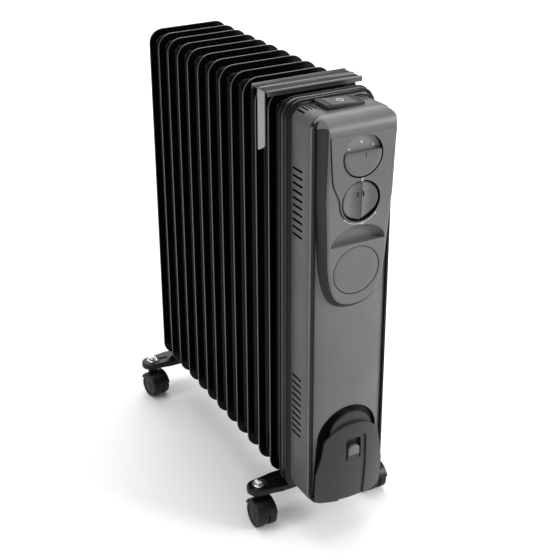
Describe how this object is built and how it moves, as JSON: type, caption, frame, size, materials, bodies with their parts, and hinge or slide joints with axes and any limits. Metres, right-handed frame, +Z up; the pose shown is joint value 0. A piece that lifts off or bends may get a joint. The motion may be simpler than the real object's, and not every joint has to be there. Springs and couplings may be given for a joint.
{
  "type": "oil filled radiator heater",
  "caption": "Oil filled column radiator on swivel casters, with a front control housing, dials, handle and cord store.",
  "frame": {"origin": "centre of the footprint on the floor, under the heater", "axes": "+Z up, -Y towards the control housing at the front, X across the fins"},
  "size_m": [0.222, 0.5166, 0.6396],
  "materials": {
    "fin_enamel": "gloss",
    "black_sheet": "semi-gloss",
    "charcoal_shell": "satin",
    "charcoal_panel": "satin",
    "control_plastic": "satin",
    "scale_plastic": "matte",
    "zinc": "bright zinc plate",
    "element_sheath": "dull",
    "black_rubber": "matte",
    "handle_lacquer": "satin gunmetal lacquer",
    "moulded_black": "satin",
    "ceramic": "matte",
    "caster_plastic": "satin"
  },
  "bodies": {
    "heater": {"fin_01": "fin_enamel", "fin_02": "fin_enamel", "fin_03": "fin_enamel", "fin_04": "fin_enamel", "fin_05": "fin_enamel", "fin_06": "fin_enamel", "fin_07": "fin_enamel", "fin_08": "fin_enamel", "fin_09": "fin_enamel", "fin_10": "fin_enamel", "fin_11": "fin_enamel", "fin_12": "fin_enamel", "heating_element": "element_sheath", "element_flange": "zinc", "element_gasket": "black_rubber", "oil_filler_plug": "zinc", "heat_shield": "black_sheet", "housing_back_plate": "black_sheet", "housing_shell": "charcoal_shell", "front_panel": "charcoal_panel", "control_console": "charcoal_panel", "timer_blanking_cap": "charcoal_panel", "dial_scale_plate": "scale_plastic", "rocker_frame": "moulded_black", "thermostat": "ceramic", "selector_switch": "moulded_black", "thermal_cutout": "ceramic", "tilt_switch": "moulded_black", "terminal_block": "ceramic", "wiring_loom": "black_rubber", "cord_gland": "black_rubber", "cord_drum": "charcoal_panel", "cord_cover": "charcoal_panel", "plug_hook": "charcoal_panel", "handle_cap": "handle_lacquer", "handle_strap": "handle_lacquer", "foot_bracket_front": "black_sheet", "foot_bracket_rear": "black_sheet", "u_bolt_front": "zinc", "u_bolt_rear": "zinc", "caster_stem_rear_left": "zinc", "caster_stem_rear_right": "zinc", "caster_stem_front_left": "zinc", "caster_stem_front_right": "zinc"},
    "heat_selector": {"heat_selector_dial": "control_plastic"},
    "thermostat_control": {"thermostat_knob": "control_plastic"},
    "power_switch": {"power_rocker": "control_plastic"},
    "caster_rear_left": {"caster_hood_rear_left": "caster_plastic"},
    "wheel_rear_left_left": {"caster_wheel_rear_left_left": "caster_plastic"},
    "wheel_rear_left_right": {"caster_wheel_rear_left_right": "caster_plastic"},
    "caster_rear_right": {"caster_hood_rear_right": "caster_plastic"},
    "wheel_rear_right_left": {"caster_wheel_rear_right_left": "caster_plastic"},
    "wheel_rear_right_right": {"caster_wheel_rear_right_right": "caster_plastic"},
    "caster_front_left": {"caster_hood_front_left": "caster_plastic"},
    "wheel_front_left_left": {"caster_wheel_front_left_left": "caster_plastic"},
    "wheel_front_left_right": {"caster_wheel_front_left_right": "caster_plastic"},
    "caster_front_right": {"caster_hood_front_right": "caster_plastic"},
    "wheel_front_right_left": {"caster_wheel_front_right_left": "caster_plastic"},
    "wheel_front_right_right": {"caster_wheel_front_right_right": "caster_plastic"}
  },
  "joints": [
    {"name": "heat_selector_turn", "type": "hinge", "parent": "heater", "child": "heat_selector", "pos_m": [0, -0.25682, 0.5776], "axis": [0, -0.9988, -0.0499], "range_deg": [-100, 100]},
    {"name": "thermostat_turn", "type": "hinge", "parent": "heater", "child": "thermostat_control", "pos_m": [0, -0.25385, 0.5183], "axis": [0, -0.9988, -0.0499], "range_deg": [-135, 135]},
    {"name": "power_rocker_tilt", "type": "hinge", "parent": "heater", "child": "power_switch", "pos_m": [0, -0.20011, 0.628], "axis": [0, 1, 0], "range_deg": [-5, 0]},
    {"name": "caster_rear_left_swivel", "type": "hinge", "parent": "heater", "child": "caster_rear_left", "pos_m": [-0.093, 0.23934, 0.05], "axis": [0, 0, 1], "continuous": true},
    {"name": "wheel_rear_left_left_spin", "type": "hinge", "parent": "caster_rear_left", "child": "wheel_rear_left_left", "pos_m": [-0.10069, 0.22884, 0.02], "axis": [0.9848, 0.1736, 0], "continuous": true},
    {"name": "wheel_rear_left_right_spin", "type": "hinge", "parent": "caster_rear_left", "child": "wheel_rear_left_right", "pos_m": [-0.08218, 0.23211, 0.02], "axis": [0.9848, 0.1736, 0], "continuous": true},
    {"name": "caster_rear_right_swivel", "type": "hinge", "parent": "heater", "child": "caster_rear_right", "pos_m": [0.093, 0.23934, 0.05], "axis": [0, 0, 1], "continuous": true},
    {"name": "wheel_rear_right_left_spin", "type": "hinge", "parent": "caster_rear_right", "child": "wheel_rear_right_left", "pos_m": [0.08218, 0.23211, 0.02], "axis": [0.9848, -0.1736, 0], "continuous": true},
    {"name": "wheel_rear_right_right_spin", "type": "hinge", "parent": "caster_rear_right", "child": "wheel_rear_right_right", "pos_m": [0.10069, 0.22884, 0.02], "axis": [0.9848, -0.1736, 0], "continuous": true},
    {"name": "caster_front_left_swivel", "type": "hinge", "parent": "heater", "child": "caster_front_left", "pos_m": [-0.093, -0.15301, 0.05], "axis": [0, 0, 1], "continuous": true},
    {"name": "wheel_front_left_left_spin", "type": "hinge", "parent": "caster_front_left", "child": "wheel_front_left_left", "pos_m": [-0.1024, -0.16201, 0.02], "axis": [1, 0, 0], "continuous": true},
    {"name": "wheel_front_left_right_spin", "type": "hinge", "parent": "caster_front_left", "child": "wheel_front_left_right", "pos_m": [-0.0836, -0.16201, 0.02], "axis": [1, 0, 0], "continuous": true},
    {"name": "caster_front_right_swivel", "type": "hinge", "parent": "heater", "child": "caster_front_right", "pos_m": [0.093, -0.15301, 0.05], "axis": [0, 0, 1], "continuous": true},
    {"name": "wheel_front_right_left_spin", "type": "hinge", "parent": "caster_front_right", "child": "wheel_front_right_left", "pos_m": [0.0836, -0.16201, 0.02], "axis": [1, 0, 0], "continuous": true},
    {"name": "wheel_front_right_right_spin", "type": "hinge", "parent": "caster_front_right", "child": "wheel_front_right_right", "pos_m": [0.1024, -0.16201, 0.02], "axis": [1, 0, 0], "continuous": true}
  ]
}
